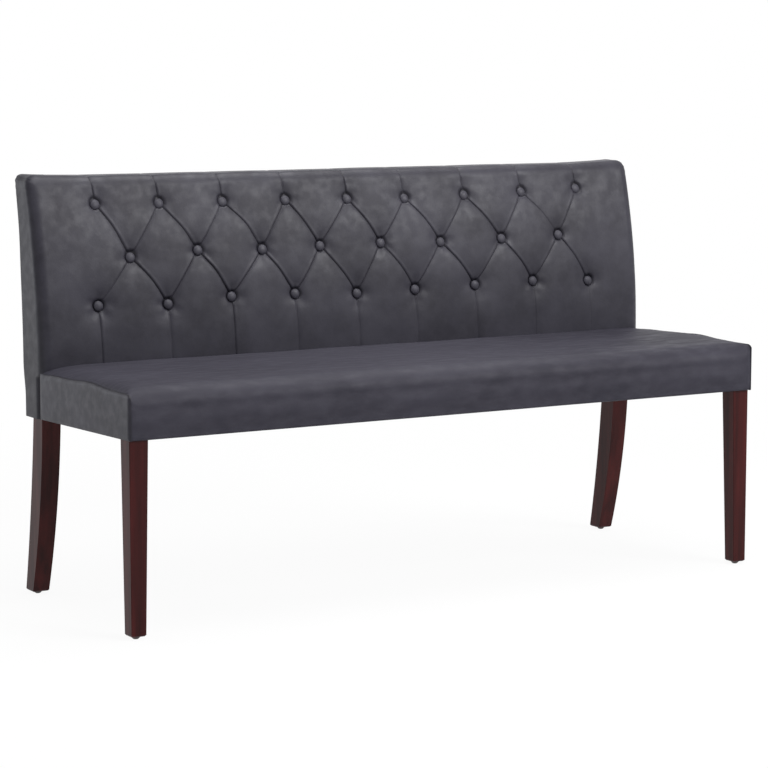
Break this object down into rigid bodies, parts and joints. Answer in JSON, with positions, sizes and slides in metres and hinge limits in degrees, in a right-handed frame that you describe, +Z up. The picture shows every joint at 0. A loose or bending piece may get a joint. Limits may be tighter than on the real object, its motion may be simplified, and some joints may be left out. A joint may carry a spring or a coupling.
{
  "type": "upholstered bench",
  "caption": "Upholstered bench with a plain box seat and a button-tufted leaning back, on straight front legs and sabre-curved rear legs.",
  "frame": {"origin": "on the floor, under the middle of the bench's overall width and depth", "axes": "+X along the bench, to the right as seen from its front, +Y from the front to the back, +Z up"},
  "size_m": [1.514, 0.541, 0.875],
  "materials": {
    "cover_leather": "satin, clouded and slightly distressed",
    "button_leather": "satin",
    "stained_wood": "dark stain under satin lacquer",
    "frame_wood": "sawn, unfinished",
    "plywood": "sanded, unfinished",
    "foam": "open-cell foam",
    "wadding": "bonded polyester wadding",
    "dust_cloth": "non-woven cloth",
    "twine": "waxed twine",
    "anchor_plastic": "moulded",
    "glide_plastic": "moulded",
    "bolt_steel": "zinc plated"
  },
  "bodies": {
    "root": {"back_bolt_nuts": "bolt_steel", "back_bolts": "bolt_steel", "back_bottom_rail": "frame_wood", "back_bottom_strip": "dust_cloth", "back_cover_front": "cover_leather", "back_cover_rear": "cover_leather", "back_foam": "foam", "back_stile_1": "frame_wood", "back_stile_2": "frame_wood", "back_stile_3": "frame_wood", "back_stile_4": "frame_wood", "back_top_rail": "frame_wood", "back_wadding": "wadding", "button_twines": "twine", "corner_block_left": "frame_wood", "corner_block_right": "frame_wood", "corner_brace_left": "frame_wood", "corner_brace_right": "frame_wood", "front_leg_left": "stained_wood", "front_leg_right": "stained_wood", "glide_front_left": "glide_plastic", "glide_front_right": "glide_plastic", "glide_rear_left": "glide_plastic", "glide_rear_right": "glide_plastic", "leg_bolt_washers": "bolt_steel", "leg_bolts": "bolt_steel", "rear_leg_left": "stained_wood", "rear_leg_right": "stained_wood", "seat_cover": "cover_leather", "seat_cross_rail_left": "frame_wood", "seat_cross_rail_middle": "frame_wood", "seat_cross_rail_right": "frame_wood", "seat_deck": "plywood", "seat_dust_cover": "dust_cloth", "seat_foam": "foam", "seat_rail_front": "frame_wood", "seat_rail_left": "frame_wood", "seat_rail_rear": "frame_wood", "seat_rail_right": "frame_wood", "seat_side_panel_left": "cover_leather", "seat_side_panel_right": "cover_leather", "tuft_panel": "plywood", "tufting_buttons": "button_leather", "twine_anchors": "anchor_plastic"}
  },
  "joints": []
}
